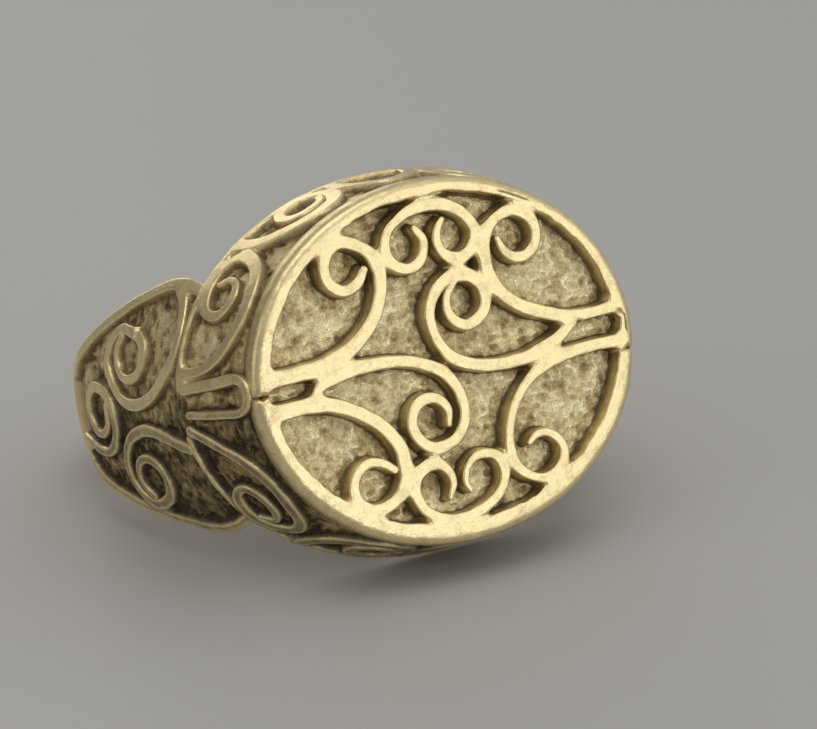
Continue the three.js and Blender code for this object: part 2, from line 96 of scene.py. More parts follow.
# ------------ border, polish and dents (mm)
RIM_SEAMS = (-10.0, 177.9)          # turns at which the two halves of the border meet, in degrees
RIM_WIDTHS = [                      # border's width at turns in degrees
    (0, 0.5), (8, 0.74), (22, 0.66), (35, 0.62), (65, 0.62), (90, 0.68), (120, 0.74), (150, 0.8),
    (174, 0.78), (180, 0.66), (188, 0.78), (225, 0.84), (315, 0.86), (345, 0.78)]
RIM_WAVER = [(0.025, 1.7), (0.012, 0.5)]    # depth and length of the waves along its outer side
RIM_RAGGED = [(0.045, 1.2), (0.03, 0.35)]   # and along its inner edge
POLISH_WAVES = [(0.018, 1.1, 5), (0.008, 0.33, 6)]  # depth, size and seed of the waves in the polish
FACE_TILT = 0.004                   # how the polish falls away towards the lower left
RIM_SIDE = [                        # border's outer side: distance in from its outline, and height
    (0.12, -0.15), (-0.04, -0.06), (-0.07, 0.06), (-0.07, 0.28), (-0.06, 0.44), (-0.042, 0.56),
    (-0.005, 0.67), (0.048, 0.76), (0.113, 0.825), (0.19, 0.868), (0.275, 0.89), (0.35, 0.899)]
FACE_DENTS = [                      # across, up, radius and depth
    (-0.7, 7.02, 0.09, 0.16), (6.68, 0.24, 0.1, 0.3), (8.72, 0.3, 0.1, 0.2), (-8.85, 0.24, 0.1, 0.3)]
SHOULDER_DENTS = [(4.58, 3.9, 0.15, 0.7)]

# ------------ wire routes (mm): across, up, width
FACE_ROUTES = {
    "face_scroll_upper_left": [
        (-3.05, 4.68, 0.42), (-3.55, 4.12, 0.52), (-4.2, 4.0, 0.55), (-4.75, 4.4), (-4.9, 5.05),
        (-4.6, 5.75), (-3.95, 6.05), (-3.15, 5.78, 0.6), (-2.6, 5.25, 0.64), (-2.38, 4.5), (-2.43, 3.8),
        (-2.65, 3.15), (-3.1, 2.45), (-3.8, 1.83, 0.66), (-4.7, 1.35, 0.7), (-5.9, 0.98, 0.74),
        (-7.1, 0.92, 0.7), (-8.7, 0.96)],
    "face_scroll_upper_right": [
        (3.55, 4.72, 0.3), (3.75, 4.15, 0.44), (4.2, 3.75, 0.52), (4.75, 3.72), (5.25, 4.1), (5.45, 4.75),
        (5.2, 5.4), (4.55, 5.78), (3.85, 5.68), (3.25, 5.3, 0.56), (2.88, 4.75, 0.6), (2.78, 4.0, 0.58),
        (2.83, 3.3), (3.05, 2.65, 0.62), (3.5, 2.05), (4.1, 1.57), (4.85, 1.15, 0.64), (5.65, 0.82),
        (6.5, 0.62, 0.58), (7.5, 0.56, 0.54), (8.7, 0.62)],
    "face_scroll_upper_s": [
        (1.2, 3.4, 0.3), (0.86, 3.08, 0.36), (0.58, 2.7, 0.4), (0.5, 2.2, 0.46), (0.68, 1.68, 0.52),
        (1.2, 1.33, 0.56), (1.8, 1.42), (2.28, 1.85), (2.42, 2.4), (2.28, 2.98, 0.6), (1.85, 3.4, 0.66),
        (1.25, 3.55, 0.7), (0.55, 3.38, 0.6), (-0.05, 2.9, 0.56), (-0.38, 2.2, 0.52), (-0.4, 1.5),
        (-0.18, 0.75), (0.25, 0.12, 0.56), (0.9, -0.33), (1.75, -0.6, 0.58), (2.8, -0.72, 0.6),
        (3.9, -0.66, 0.62), (4.8, -0.44, 0.64), (5.5, -0.18, 0.56), (6.0, 0.08, 0.42), (6.45, 0.36, 0.3)],
    "face_scroll_upper_twin": [
        (-0.28, 5.95, 0.36), (0.0, 5.4, 0.44), (-0.15, 4.75, 0.48), (-0.65, 4.33, 0.52), (-1.25, 4.38),
        (-1.72, 4.8), (-1.85, 5.4), (-1.62, 6.0, 0.48), (-1.1, 6.42, 0.42), (-0.35, 6.74, 0.48),
        (0.6, 6.82, 0.56), (1.45, 6.62, 0.56), (2.15, 6.15), (2.52, 5.45, 0.54), (2.42, 4.85, 0.56),
        (1.95, 4.38), (1.4, 4.28, 0.6), (0.88, 4.6, 0.5), (0.66, 5.2, 0.44), (0.82, 5.78, 0.38),
        (1.1, 6.08, 0.26)],
    "face_scroll_lower_right": [
        (3.12, -4.42, 0.26), (3.5, -4.15, 0.36), (4.0, -4.12, 0.42), (4.5, -4.5, 0.46), (4.72, -5.05),
        (4.5, -5.65, 0.5), (3.95, -6.02, 0.5), (3.3, -6.02, 0.42), (2.7, -5.72, 0.44), (2.3, -5.25, 0.46),
        (2.15, -4.6, 0.5), (2.22, -3.9, 0.46), (2.48, -3.15, 0.46), (2.95, -2.4), (3.6, -1.77, 0.48),
        (4.35, -1.33, 0.52), (5.2, -1.05, 0.58), (6.1, -0.93), (7.1, -0.88, 0.56), (8.6, -0.92, 0.6)],
    "face_scroll_lower_left": [
        (-3.5, -4.15, 0.36), (-3.95, -3.78, 0.44), (-4.55, -3.6, 0.48), (-5.15, -3.85), (-5.52, -4.45),
        (-5.45, -5.15, 0.52), (-4.95, -5.62, 0.54), (-4.2, -5.65, 0.52), (-3.5, -5.32, 0.6),
        (-3.03, -4.7, 0.68), (-2.95, -3.95, 0.68), (-3.05, -3.2, 0.64), (-3.45, -2.45, 0.64),
        (-4.05, -1.8), (-4.85, -1.2), (-5.75, -0.78, 0.66), (-6.7, -0.56, 0.66), (-7.5, -0.54, 0.68),
        (-8.7, -0.58, 0.7)],
    "face_scroll_lower_s": [
        (-0.52, -2.75, 0.3), (-0.42, -2.1, 0.42), (-0.78, -1.58, 0.5), (-1.35, -1.42, 0.54),
        (-1.95, -1.7), (-2.25, -2.3), (-2.15, -2.95), (-1.75, -3.45, 0.56), (-1.15, -3.65, 0.6),
        (-0.45, -3.5, 0.54), (0.08, -3.05, 0.52), (0.36, -2.35), (0.3, -1.6), (0.02, -0.92, 0.54),
        (-0.5, -0.33, 0.56), (-1.25, 0.12, 0.58), (-2.2, 0.42), (-3.3, 0.56, 0.6), (-4.5, 0.55, 0.66),
        (-5.4, 0.38, 0.64), (-6.0, 0.22, 0.54), (-6.38, -0.1, 0.4), (-6.5, -0.5, 0.36)],
    "face_scroll_lower_twin": [
        (-1.15, -5.92, 0.26), (-0.88, -5.35, 0.38), (-0.98, -4.78, 0.44), (-1.4, -4.38, 0.56),
        (-1.95, -4.35), (-2.48, -4.68, 0.52), (-2.72, -5.25), (-2.58, -5.95), (-2.1, -6.5, 0.48),
        (-1.35, -6.83, 0.46), (-0.5, -6.88), (0.35, -6.7, 0.44), (1.05, -6.35, 0.46), (1.5, -5.85, 0.44),
        (1.65, -5.25, 0.46), (1.45, -4.65, 0.5), (0.9, -4.38, 0.48), (0.3, -4.48, 0.42),
        (-0.14, -4.9, 0.36), (-0.28, -5.4, 0.32), (-0.14, -5.82, 0.24)],
}
# Gallery, unrolled: across is measured round from its left end, up from the face to the back edge.
GALLERY_WAVE_UPPER = [
    (6.19, 4.0, 0.28), (6.42, 3.5, 0.36), (6.3, 3.05, 0.4), (5.9, 2.72, 0.44), (5.3, 2.65),
    (4.78, 2.92, 0.48), (4.6, 3.44, 0.5), (4.85, 4.05), (5.45, 4.45, 0.54), (6.25, 4.64, 0.5),
    (7.1, 4.52), (7.58, 4.05, 0.58), (7.66, 3.38, 0.64), (7.38, 2.65), (6.88, 2.1, 0.62), (6.2, 1.7),
    (5.0, 1.52), (4.0, 1.68), (2.95, 2.2, 0.58), (2.3, 2.92, 0.52), (2.0, 3.65, 0.48), (1.9, 4.65)]
GALLERY_WAVE_LOWER = [
    (6.0, 4.3, 0.26), (6.4, 3.8, 0.36), (6.0, 3.2, 0.42), (5.1, 2.95, 0.46), (4.3, 3.25, 0.48),
    (4.2, 3.78), (4.6, 4.3, 0.5), (5.5, 4.64, 0.52), (6.5, 4.6), (7.1, 4.1, 0.56), (7.3, 3.4, 0.6),
    (6.9, 2.6), (6.0, 2.02), (4.9, 1.72), (3.6, 1.82), (2.6, 2.45, 0.56), (1.9, 3.25, 0.5),
    (1.25, 4.1, 0.46), (0.8, 4.7, 0.4)]
GALLERY_CURL = [
    (11.85, 3.7, 0.36), (11.65, 3.2, 0.4), (11.2, 2.88, 0.46), (10.6, 2.85, 0.5), (10.12, 3.25, 0.54),
    (10.08, 3.95), (10.45, 4.46), (11.1, 4.66), (11.8, 4.46, 0.58), (12.22, 3.9, 0.66), (12.25, 3.2, 0.7),
    (11.95, 2.5, 0.74), (11.36, 2.02, 0.78), (10.6, 1.84), (9.8, 2.1, 0.76), (9.1, 2.64, 0.72),
    (8.62, 3.3, 0.68), (8.42, 4.0, 0.62), (8.3, 4.7, 0.58)]
GALLERY_ARCH = [(12.9, 4.6, 0.54), (13.1, 3.6), (13.6, 2.75, 0.58), (14.45, 2.3, 0.6)]
GALLERY_LOOP = [
    (-0.08, 4.5, 0.38), (-0.2, 3.4, 0.42), (-0.27, 2.2), (-0.27, 1.35, 0.44), (0.0, 0.86), (0.55, 0.68),
    (1.1, 0.84), (1.42, 1.35, 0.52), (1.36, 2.1, 0.6), (1.23, 3.1, 0.54), (1.14, 4.6, 0.48)]
# Shoulder, unrolled: across is measured back from the gallery, up is along the finger.
SHOULDER_EDGE = [
    (0.1, 5.4), (1, 5.7), (2, 5.8), (3, 5.7), (4, 5.5), (5, 5.28), (6, 5.0), (7, 4.7), (8, 4.35),
    (9, 3.92), (10, 3.4), (11, 2.85), (12, 2.35), (12.6, 2.08)]
SHOULDER_COMMA_UPPER = [
    (6.03, 3.6, 0.38), (6.48, 3.1, 0.36), (6.52, 2.45), (6.08, 1.88, 0.42), (5.2, 1.66, 0.46),
    (4.35, 1.88, 0.5), (3.82, 2.36, 0.58), (3.7, 2.95, 0.62), (4.15, 3.45, 0.6), (5.1, 3.75, 0.52),
    (6.0, 3.92, 0.48), (6.75, 3.68, 0.44), (7.35, 3.15), (7.6, 2.45, 0.46), (7.25, 1.62, 0.5),
    (6.6, 0.98), (5.75, 0.62, 0.54), (4.6, 0.52, 0.58), (3.46, 0.7), (2.3, 1.14), (1.46, 1.7),
    (0.82, 2.28, 0.54), (0.42, 2.95, 0.46), (0.52, 4.0, 0.42), (0.9, 4.8), (1.35, 5.3)]
SHOULDER_COMMA_LOWER = [
    (6.2, -3.8, 0.36), (6.6, -3.4), (6.7, -2.85), (6.3, -2.28, 0.42), (5.5, -2.0, 0.46),
    (4.65, -2.12, 0.5), (4.1, -2.6, 0.56), (4.12, -3.25, 0.58), (4.7, -3.86, 0.56), (5.7, -4.18, 0.52),
    (6.55, -4.18, 0.48), (7.22, -3.72, 0.46), (7.6, -2.9), (7.4, -2.05, 0.5), (6.5, -1.2, 0.52),
    (5.4, -0.8, 0.56), (4.0, -0.68, 0.58), (2.6, -0.92), (1.2, -1.32, 0.54), (0.1, -1.62, 0.5)]
SHOULDER_SPIRAL = [
    (8.25, 0.55, 0.36), (8.45, -0.35, 0.4), (9.15, -0.76, 0.42), (9.92, -0.58), (10.4, 0.2),
    (10.12, 1.02, 0.44), (9.3, 1.42, 0.5), (8.3, 1.12, 0.54), (7.64, 0.4), (7.58, -0.45), (8.08, -1.2),
    (9.0, -1.62, 0.48), (10.05, -1.52, 0.42), (11.0, -1.15, 0.36), (12.1, -0.9, 0.3)]

# ------------ where the ring lies
MOUNTS = {mount["name"]: mount for mount in frame["record"]["mounts"]}
FINGER_AXIS = np.array(MOUNTS["finger_hole"]["axis"])
FACE_NORMAL = np.array(MOUNTS["face_border"]["axis"])
BORDER_UP = 7.61                    # the border mount's height above the middle of the face
RING_TURN = np.column_stack([(1, 0, 0), -FACE_NORMAL, FINGER_AXIS])
FACE_CENTRE = np.array(MOUNTS["face_border"]["pos_m"]) - BORDER_UP * MM * FINGER_AXIS


def laid_down(points):
    """Ring points in millimetres, as row points in metres."""
    return points * MM @ RING_TURN.T + FACE_CENTRE


def unit(vectors):
    return vectors / np.linalg.norm(vectors, axis=1)[:, None]


def distance_along(points):
    steps = np.linalg.norm(np.diff(points, axis=0), axis=1)
    return np.concatenate([[0], np.cumsum(steps)])


# ------------ noise
LATTICE = 32


def noise(points, size, seed):
    """Smooth noise from -1 to 1 with lumps of the given size, at points of any dimension."""
    dimension = points.shape[-1]
    lattice = np.random.RandomState(seed).uniform(-1, 1, (LATTICE,) * dimension)
    scaled = points / size
    cell = np.floor(scaled).astype(int)
    part = scaled - cell
    part = part * part * (3 - 2 * part)
    total = np.zeros(points.shape[:-1])
    for corner in np.ndindex((2,) * dimension):
        weight = np.prod(np.where(corner, part, 1 - part), axis=-1)
        index = tuple(np.moveaxis((cell + corner) % LATTICE, -1, 0))
        total += weight * lattice[index]
    return total


def waves(along, kinds, seed):
    """Unevenness at distances along a line, from waves of several depths and lengths."""
    return sum(depth * noise(along[:, None], length, seed + i) for i, (depth, length) in enumerate(kinds))


# ------------ surfaces: across, up, height to the ring
TRIMMED = 0.93                      # share of what runs off the gallery's back edge that is cut away


def place_face(across, up, height):
    return np.column_stack([across, RIM_DEPTH - height, up])


def gallery_skin(across, down):
    """Outermost surface of the gallery, by distance round it and from the face."""
    turn = math.pi - across / QUARTER_TURN * math.pi / 2
    part = down / RAIL_BACK
    a = FACE_A + (BACK_A - FACE_A) * part
    b = FACE_B + (BACK_B - FACE_B) * part
    return np.column_stack([a * np.cos(turn), GALLERY_DEPTH * part, b * np.sin(turn)])


def shoulder_half(along):
    """Half width of the shoulder at a distance along its middle."""
    return np.interp(along, *np.array(SHOULDER_EDGE).T)


def shoulder_skin(along, up):
    """Outermost surface of the right shoulder."""
    straight = np.minimum(along, STRAIGHT)
    turn = np.maximum(0, along - STRAIGHT) / HOOP_R
    full = SHOULDER_FULL + (HOOP_R - SHOULDER_FULL) * np.clip(straight / STRAIGHT, 0, 1)
    crown = SHOULDER_CROWN * np.clip(1 - along / CROWN_END, 0, 1) + SHANK_CROWN
    fall = crown * (up / shoulder_half(along)) ** 2
    out = full - fall
    y = GALLERY_DEPTH + straight + HOOP_R * np.sin(turn) - fall * np.sin(turn)
    return np.column_stack([out * np.cos(turn), y, up])


def wrap_on(skin):
    """Placement on a curved skin; height is measured from the ground, RELIEF below the skin."""
    step = 0.02

    def place(across, up, height):
        along_across = skin(across + step, up) - skin(across - step, up)
        along_up = skin(across, up + step) - skin(across, up - step)
        outward = unit(np.cross(along_across, along_up))
        return skin(across, up) + outward * (height - RELIEF)[:, None]

    return place


place_on_gallery = wrap_on(gallery_skin)
place_shoulder = wrap_on(shoulder_skin)


def place_gallery(across, up, height):
    """Placement on the gallery; wires that run off its back edge are trimmed almost flush with it."""
    past_edge = np.maximum(0, up - RAIL_BACK)
    return place_on_gallery(across, up - TRIMMED * past_edge, height)


def place_left_shoulder(across, up, height):
    return place_shoulder(across, up, height) * (-1, 1, 1)


# ------------ meshes
def add_object(name, data):
    added = bpy.data.objects.new(name, data)
    bpy.context.scene.collection.objects.link(added)
    return added


def new_piece(node, points, faces, patina_and_shade, material):
    """A closed mesh from ring points, riding on the body and standing for its CAD node."""
    name = "fine_" + node
    mesh = bpy.data.meshes.new(name)
    mesh.from_pydata(laid_down(points).tolist(), [], faces)
    shell = bmesh.new()
    shell.from_mesh(mesh)
    bmesh.ops.recalc_face_normals(shell, faces=shell.faces)
    shell.to_mesh(mesh)
    shell.free()
    mesh.polygons.foreach_set("use_smooth", [True] * len(mesh.polygons))
    # each point's patina and painted shade, which the gold materials turn into colour
    layer = mesh.attributes.new("patina_and_shade", "FLOAT", "POINT")
    layer.data.foreach_set("value", np.clip(patina_and_shade, 0, 1).astype(np.float32))
    mesh.materials.append(MATERIALS[material])
    piece = add_object(name, mesh)
    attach(piece, "root")
    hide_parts(node)


def grid_faces(rows, columns, close_rows=False, close_columns=False):
    """Quads between the points of a grid stored row by row."""
    row = np.arange(rows if close_rows else rows - 1)[:, None]
    column = np.arange(columns if close_columns else columns - 1)[None]
    after_row, after_column = (row + 1) % rows, (column + 1) % columns
    corners = [row * columns + column, row * columns + after_column,
               after_row * columns + after_column, after_row * columns + column]
    return np.stack(corners, axis=-1).reshape(-1, 4).tolist()


# ------------ wires
EDGE_ROUND = 0.085                  # radius along the top edges of a wire
FOOT_SIDE = [                       # its lower side: distance out from its edge, and height
    (0.04, 0.1), (0.07, 0.04), (0.11, -0.02), (0.16, -0.1), (0.3, -0.22)]
CLIFF_WIDE, CLIFF_LOW = 0.28, -0.65     # how the side of a wire on a sheet's edge runs down that edge
CLIFF_PATINA_AND_SHADE = 0.25                  # share of its patina and painted shade that such a side keeps
UNDERSIDE = 0.2                     # how far a wire goes on down inside its sheet
STEP = 0.09                         # length of mesh along a wire
FINE_STEPS = 24                     # steps between two points of a route, before they are evened
SOLDER = 6.0                        # per mm: the lower it is, the wider the webs where wires join
DIVE, DIVE_START = 4, 0.12          # how a wire dives under one that covers it
LAYER = 0.0003                      # keeps the shared surfaces of two wires apart
RAGGED = [(0.06, 1.3), (0.06, 0.38)]    # waves of a wire's edge: part of its half width, and length
OUTSIDE = [0.28, 0.2, 0.14, 0.1, 0.065, 0.04, 0.018, 0.0]   # mesh loops: distances out from an edge
INSIDE = (0.3, 0.65, 1.0)           # and parts of the edge's rounding, in from it
CAP_TURNS = 9                       # mesh steps round the end of a wire
WORN_EDGE, WORN_SOFT = 0.05, 0.06   # the worn line along a wire's edge, kept free of the painted underside shade: how far in, and how wide
TILT_WAY, TILT_START = (-0.8, -0.6), 2  # where the slope of the polish heads, and where it begins
WALL_PATINA_AND_SHADE = 0.78                   # patina and painted shade at the foot of a wire
LOW_SHARP, LOW_MIDDLE = 2.2, 0.3    # how and where the ring's top side turns into its underside
FAR = 9.0                           # distance that stands for nowhere near
CHUNK = 4000                        # points measured at a time
BEND_USED = 0.9                     # share of a bend's radius that the loops on its inside may use
CROWDED = 0.05                      # keeps mesh loops apart where a tight bend crowds them


def full_widths(route):
    """A route with every width written out: where a point gives none, the last one goes on."""
    widths = []
    for point in route:
        widths.append(point[2] if len(point) > 2 else widths[-1])
    return [(x, y, width) for (x, y, *_), width in zip(route, widths)]


def smooth_route(route):
    """Even steps along a centripetal Catmull-Rom curve through a route: points, half widths, distances."""
    *knots, widths = np.transpose(full_widths(route))
    knots = np.column_stack(knots)
    ends = np.vstack([2 * knots[0] - knots[1], knots, 2 * knots[-1] - knots[-2]])
    t = np.linspace(0, 1, FINE_STEPS, endpoint=False)[:, None]
    pieces = []
    for i in range(len(knots) - 1):
        a, b, c, d = ends[i:i + 4]
        first, middle, last = np.sqrt(np.linalg.norm([b - a, c - b, d - c], axis=1))
        leave = ((b - a) / first - (c - a) / (first + middle) + (c - b) / middle) * middle
        arrive = ((c - b) / middle - (d - b) / (middle + last) + (d - c) / last) * middle
        cubic = 2 * b - 2 * c + leave + arrive
        square = -3 * b + 3 * c - 2 * leave - arrive
        pieces.append(((cubic * t + square) * t + leave) * t + b)
    fine = np.vstack(pieces + [knots[-1:]])
    place = np.arange(len(fine)) / FINE_STEPS
    length = distance_along(fine)
    even = np.linspace(0, length[-1], round(length[-1] / STEP))
    points = np.column_stack([np.interp(even, length, fine[:, k]) for k in (0, 1)])
    half = np.interp(np.interp(even, length, place), np.arange(len(widths)), widths) / 2
    return points, half, even


def edge_profile(outside, height):
    """Height of a wire's surface at a distance outside its edge; inside it, the distance is negative."""
    inside = np.clip(outside + EDGE_ROUND, 0, EDGE_ROUND)
    top = height - (EDGE_ROUND - np.sqrt(EDGE_ROUND ** 2 - inside ** 2))
    side = np.interp(outside, *np.transpose([(0, height - EDGE_ROUND), *FOOT_SIDE]))
    return np.where(outside < 0, top, side)


def cliff_profile(outside, height):
    """The same at the edge of a sheet, where the wire's side runs on down the edge."""
    fall = np.interp(outside, (0, CLIFF_WIDE), (height - EDGE_ROUND, CLIFF_LOW))
    return np.where(outside < 0, edge_profile(outside, height), fall)


class Wire:
    """A wire drawn flat: its middle line, its width and its height above the ground.

    A wire on its sheet's edge has a cliff on that side: 1 is to the left of its route, -1 to the right.
    """

    def __init__(self, node, route, height, seed, cliff=0):
        self.node, self.height, self.seed, self.cliff = node, height, seed, cliff
        self.points, self.half, self.along = smooth_route(route)

    def outside(self, points, period, reach=0.6):
        """Distance of flat points out from the wire's edge, up to a reach."""
        middle = self.points.mean(0)
        offset = points - middle
        offset[:, 0] -= period * np.round(offset[:, 0] / period)
        local = self.points - middle
        reach += self.half.max()
        near = (offset > local.min(0) - reach) & (offset < local.max(0) + reach)
        near = np.flatnonzero(near.all(1))
        distance = np.full(len(points), FAR)
        for chunk in np.array_split(near, 1 + len(near) // CHUNK):
            gap = np.linalg.norm(offset[chunk, None] - local[None], axis=2) - self.half
            distance[chunk] = gap.min(1)
        return distance

    def outline(self):
        """Nested loops round the wire, from its foot in to its middle.

        Returns their points, their distances out from its edge, and which points of each lie on a cliff.
        """
        tangent = unit(np.gradient(self.points, axis=0))
        normal = np.column_stack([-tangent[:, 1], tangent[:, 0]])
        heading = np.unwrap(np.arctan2(tangent[:, 1], tangent[:, 0]))
        bend = np.gradient(heading, self.along)
        bend = np.convolve(np.pad(bend, 2, mode="edge"), np.ones(5) / 5, mode="valid")
        angles = np.linspace(0, math.pi, CAP_TURNS + 2)[1:-1, None]
        cliff = np.repeat([self.cliff == 1, False, self.cliff == -1, False],
                          [len(self.along), CAP_TURNS] * 2)
        rings, distances = [], []
        for left, right in zip(self.side_loops(1, bend), self.side_loops(-1, bend)):
            left_side = self.points + normal * left[0][:, None]
            right_side = self.points - normal * right[0][:, None]
            caps = []
            for end, way, first, last in ((-1, 1, left[0], right[0]), (0, -1, right[0], left[0])):
                spoke = way * (normal[end] * np.cos(angles) + tangent[end] * np.sin(angles))
                part = angles / math.pi
                caps.append(self.points[end] + spoke * (first[end] + (last[end] - first[end]) * part))
            out = [np.full(CAP_TURNS, (left[1][end] + right[1][end]) / 2) for end in (-1, 0)]
            rings.append(np.vstack([left_side, caps[0], right_side[::-1], caps[1]]))
            distances.append(np.concatenate([left[1], out[0], right[1][::-1], out[1]]))
        return np.array(rings), np.array(distances), cliff

    def side_loops(self, side, bend):
        """For each loop, how far it lies from the middle line on one side, and how far from the edge."""
        seeds = self.seed + side + 1, self.seed + side + 5
        uneven = sum(waves(self.along, [kind], seed) for kind, seed in zip(RAGGED, seeds))
        edge = self.half * (1 + uneven)
        room = BEND_USED / np.maximum(side * bend, 1e-3)
        rounding = np.minimum(EDGE_ROUND, 0.7 * self.half)
        loops = []
        for distance in OUTSIDE:
            if side == self.cliff:      # these loops run down more than out
                loops.append((edge + 0.1 * distance, 0 * edge + distance))
            else:
                offset = np.minimum(edge + distance, room * (1 + CROWDED * distance))
                loops.append((offset, offset - edge))
        for part in INSIDE:
            offset = np.minimum(edge - part * rounding, room * (1 - CROWDED * part))
            loops.append((offset, offset - edge))
        loops.append((0.5 * loops[-1][0], 0.5 * loops[-1][0] - edge))
        return loops


def middle_faces(stations, start):
    """Faces that close a loop round a wire across its middle."""
    total = 2 * (stations + CAP_TURNS)
    left = np.arange(stations - 1)
    right = total - CAP_TURNS - 1 - left
    faces = (start + np.column_stack([left, left + 1, right - 1, right])).tolist()
    for first in (stations - 1, total - CAP_TURNS - 1):
        faces.append([start + (first + k) % total for k in range(CAP_TURNS + 2)])
    return faces


class Relief:
    """Wires that share a ground, so that they can be soldered together."""

    def __init__(self, wires, place, period=1e6, dents=(), tarnish=0.0, tilt=0.0):
        # tarnish: how strongly the wires take painted shade towards the ring's underside
        self.wires, self.place, self.period = wires, place, period
        self.dents, self.tarnish, self.tilt = dents, tarnish, tilt

    def polish(self, points):
        """Slow waves, a slope and dents worn into the tops of the wires."""
        worn = sum(depth * noise(points, size, seed) for depth, size, seed in POLISH_WAVES)
        downhill = TILT_WAY[0] * points[:, 0] + TILT_WAY[1] * points[:, 1]
        worn -= self.tilt * np.clip(downhill - TILT_START, 0, None) ** 2
        for across, up, radius, depth in self.dents:
            away = np.hypot(points[:, 0] - across, points[:, 1] - up) / radius
            worn -= depth * np.exp(-away ** 2)
        return worn

    def heights(self, points, own, wire, cliff=False):
        """Shared surface over flat points of one wire, whose own distances are given."""
        nearest = np.full(len(points), FAR)
        total = np.exp(-SOLDER * own)
        for other in self.wires:
            if other is not wire:
                distance = other.outside(points, self.period)
                total += np.exp(-SOLDER * distance)
                nearest = np.minimum(nearest, distance)
        joined = -np.log(total) / SOLDER
        height = np.where(cliff, cliff_profile(joined, wire.height), edge_profile(joined, wire.height))
        sunk = DIVE * np.clip(own - nearest - DIVE_START, 0, None) ** 3
        return height - sunk + self.polish(points) * np.clip(height / wire.height, 0, 1)

    def near_wire(self, points):
        """Closeness of flat ground points to a wire's foot, from 0 far away to 1."""
        distance = np.full(len(points), FAR)
        for wire in self.wires:
            distance = np.minimum(distance, wire.outside(points, self.period, 0.9))
        return np.exp(-np.clip(distance, 0, None) / FOOT_REACH)

    def build(self, wire, rank):
        """The closed mesh of one wire. Rank keeps the shared surfaces of two wires apart."""
        rings, own, cliff = wire.outline()
        count, size = own.shape
        flat = rings.reshape(-1, 2)
        height = self.heights(flat, own.ravel(), wire, np.tile(cliff, count)) - LAYER * rank
        flat = np.vstack([flat, rings[0]])
        height = np.concatenate([height, height[:size] - UNDERSIDE])
        points = self.place(*flat.T, height)
        faces = grid_faces(count, size, close_columns=True)
        faces += middle_faces(len(wire.points), (count - 1) * size)
        under = np.arange(size)
        after = (under + 1) % size
        faces += np.column_stack([under, after, count * size + after, count * size + under]).tolist()
        faces += middle_faces(len(wire.points), count * size)
        from_edge = np.concatenate([own.ravel(), own[0]])
        kept = 1 - np.exp(-((from_edge + WORN_EDGE) / WORN_SOFT) ** 2)
        unworn = height - self.polish(flat)
        rubbed = np.where(np.tile(cliff, count + 1), CLIFF_PATINA_AND_SHADE, 1)
        # patina and painted shade down the wire's sides, and painted shade towards the ring's underside,
        # left off its worn edges
        patina_and_shade = (wall_patina_and_shade(unworn, wire.height) + self.tarnish * underside_shade_mask(points) * kept) * rubbed
        new_piece(wire.node, points, faces, patina_and_shade, "polished_gold")


def wall_patina_and_shade(height, top):
    """Patina and painted shade on a wire: none on its flat top, more and more down its sides."""
    return WALL_PATINA_AND_SHADE * np.clip(1 - height / (0.9 * top), 0, 1) ** 0.8


def underside_shade_mask(points):
    """From 0 at the top of the ring's outside to 1 at its underside: the share of painted shade a point
    takes.
    """
    return 1 / (1 + np.exp(LOW_SHARP * (points[..., 2] - LOW_MIDDLE)))


class Border:
    """The flat border round the face, as seen by the wires that join it."""

    height = RIM_DEPTH

    def width(self, turn):
        return np.interp(np.degrees(turn), *np.transpose(RIM_WIDTHS), period=360)

    def outside(self, points, period, reach=0):
        """Distance in from the border's inner edge."""
        x, y = points.T
        level = np.hypot(x / FACE_A, y / FACE_B)
        slope = np.hypot(x / FACE_A ** 2, y / FACE_B ** 2) / np.maximum(level, 1e-6)
        turn = np.arctan2(y / FACE_B, x / FACE_A)
        return (1 - level) / np.maximum(slope, 1e-6) - self.width(turn)


# ------------ ground
GROUND_DULL, GROUND_UNDERSIDE_SHADE = 0.24, 0.36    # darkening added on the shoulders' ground, and painted shade on all undersides
GALLERY_DULL = 0.7 * GROUND_DULL        # and what the gallery adds
FACE_STIPPLE, SIDE_STIPPLE = (0.03, 0.045), (0.05, 0.02)    # heights of the coarse and fine lumps
LUMP, WRINKLE, GRIT = 0.85, 0.38, 0.2   # their sizes
GROUND_GRIME, TOP_CLEAN, FOOT_PATINA_AND_SHADE = 0.31, 5.0, 0.3    # level patina, less per mm up, and patina with painted shade by a wire
SEAM_DEEP, SEAM_HALF = 0.22, 0.1    # groove where the two halves of the border meet
RIM_SHADOW_WIDTH = 0.35                    # width of the painted shadow on the gallery along the border
FOOT_REACH = 0.2                    # how soon the patina and painted shade round a wire's foot thin out


def stipple(points, coarse, fine):
    """Lumps and wrinkles of the matte ground, from ring points and the height of each kind."""
    wrinkle = 1 - 2.2 * np.abs(noise(points, WRINKLE, 22))
    return coarse * (noise(points, LUMP, 21) + wrinkle) + fine * noise(points, GRIT, 23)


def ground_patina_and_shade(lumps, close):
    """Patina on the ground, thick in the hollows; patina and painted shade at the feet of the wires."""
    return GROUND_GRIME - TOP_CLEAN * lumps + FOOT_PATINA_AND_SHADE * close


def loft(node, sections, patina_and_shade, material, closed=False):
    """A closed solid through rings of points, with flat ends unless it closes on itself."""
    count, size = sections.shape[:2]
    faces = grid_faces(count, size, close_rows=closed, close_columns=True)
    if not closed:
        faces += [list(range(size)), [(count - 1) * size + k for k in range(size)]]
    new_piece(node, sections.reshape(-1, 3), faces, patina_and_shade.reshape(-1), material)


